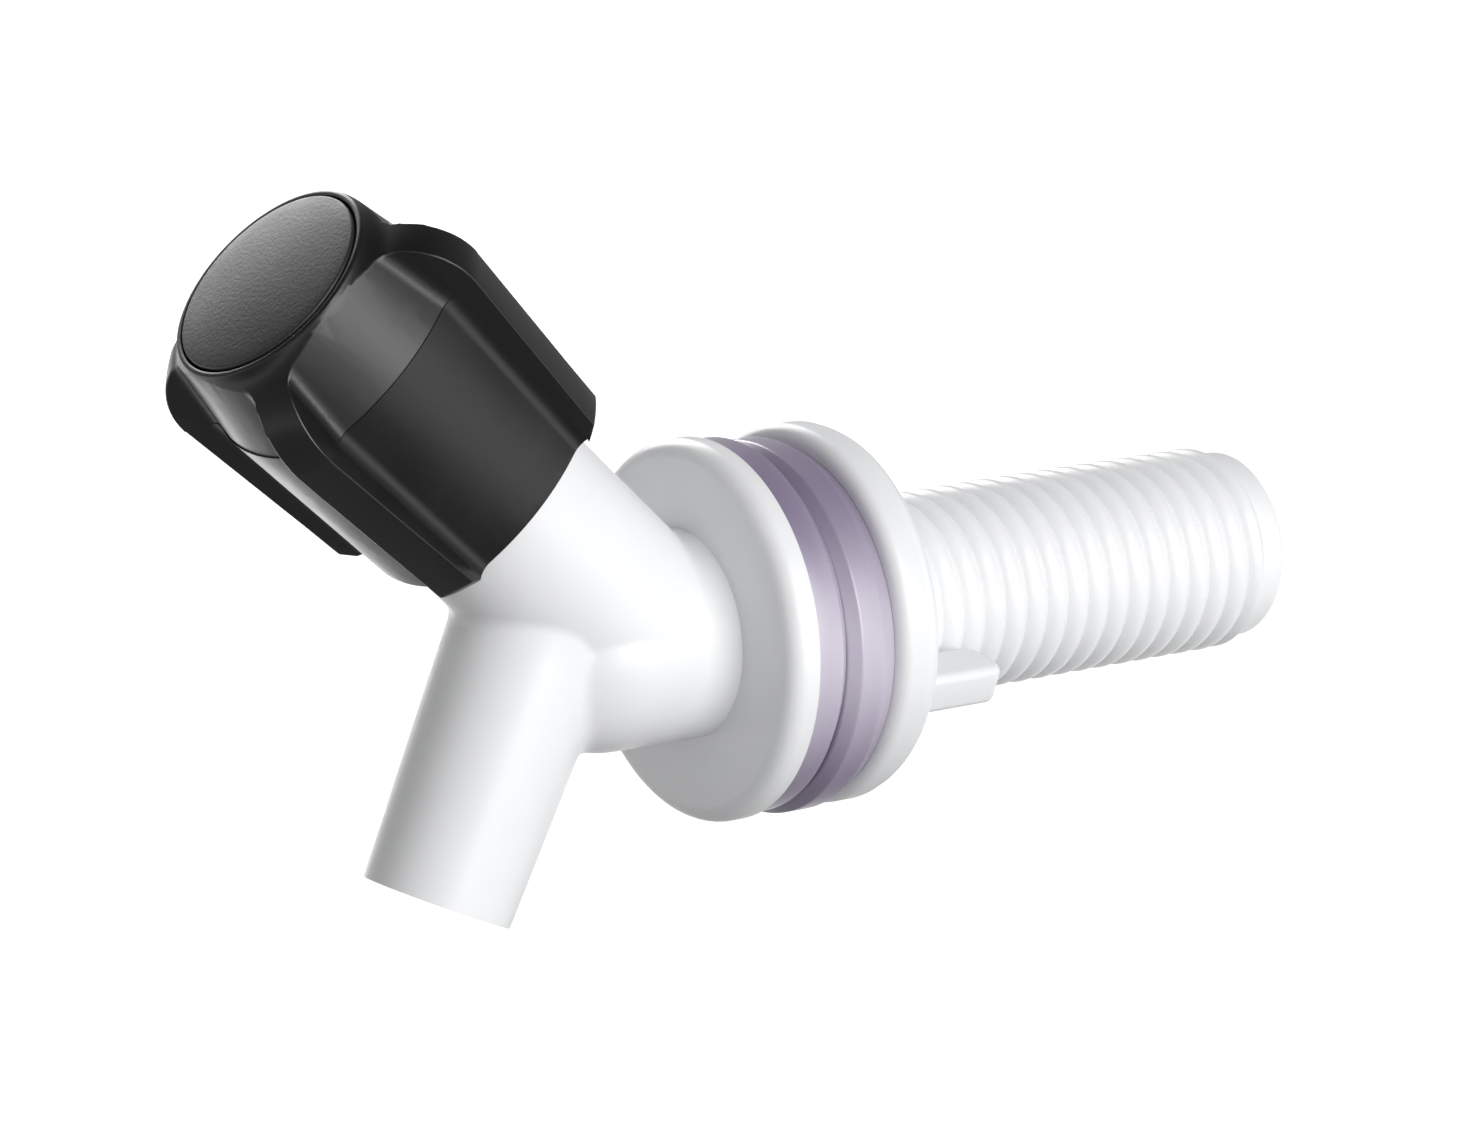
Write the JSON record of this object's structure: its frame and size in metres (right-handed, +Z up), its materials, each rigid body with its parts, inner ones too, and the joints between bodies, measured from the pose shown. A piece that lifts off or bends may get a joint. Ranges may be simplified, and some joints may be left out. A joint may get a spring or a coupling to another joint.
{
  "type": "reverse osmosis tap",
  "caption": "Small plastic panel tap with a ribbed screw-down knob, a leaning valve barrel, a short spout, clamping washers and a wing nut on a threaded inlet stem.",
  "frame": {"origin": "centre of the flange's rear face, where the tap bears on the panel side", "axes": "+Y runs back along the inlet stem, +Z is up, and the knob and spout face -Y"},
  "size_m": [0.029, 0.094, 0.0557],
  "materials": {
    "body_plastic": "white polypropylene, glossy as moulded",
    "washer_vinyl": "soft translucent vinyl with a purple tint",
    "valve_plastic": "off-white acetal, satin",
    "seal_rubber": "black rubber, matte",
    "knob_plastic": "black moulded plastic, glossy",
    "cap_plastic": "black moulded plastic, matte with a fine grain",
    "screw_steel": "plain zinc plate"
  },
  "bodies": {
    "tap": {"tap_body": "body_plastic", "headpiece": "valve_plastic", "headpiece_gasket": "seal_rubber", "front_washer": "washer_vinyl"},
    "valve": {"valve_plate": "valve_plastic", "valve_washer": "seal_rubber"},
    "handle": {"spindle": "valve_plastic", "spindle_seal": "seal_rubber", "knob": "knob_plastic", "knob_screw": "screw_steel", "knob_cap": "cap_plastic"},
    "sliding_washer": {"rear_washer": "washer_vinyl"},
    "nut": {"wing_nut": "body_plastic"}
  },
  "joints": [
    {"name": "spindle_rise", "type": "slide", "parent": "tap", "child": "valve", "axis": [0, -0.7169, 0.6972], "range_m": [0, 0.00251]},
    {"name": "knob_turn", "type": "hinge", "parent": "valve", "child": "handle", "pos_m": [0, -0.00655, 0], "axis": [0, -0.7169, 0.6972], "range_deg": [0, 450]},
    {"name": "nut_run", "type": "slide", "parent": "tap", "child": "sliding_washer", "axis": [0, 1, 0], "range_m": [0, 0.02005]},
    {"name": "nut_turn", "type": "hinge", "parent": "sliding_washer", "child": "nut", "pos_m": [0, 0.0076, 0], "axis": [0, 1, 0], "range_deg": [0, 3600]}
  ],
  "couplings": [
    {"joint": "spindle_rise", "follows": "knob_turn", "m_per_rad": 0.00031831},
    {"joint": "nut_run", "follows": "nut_turn", "m_per_rad": 0.00031831}
  ]
}
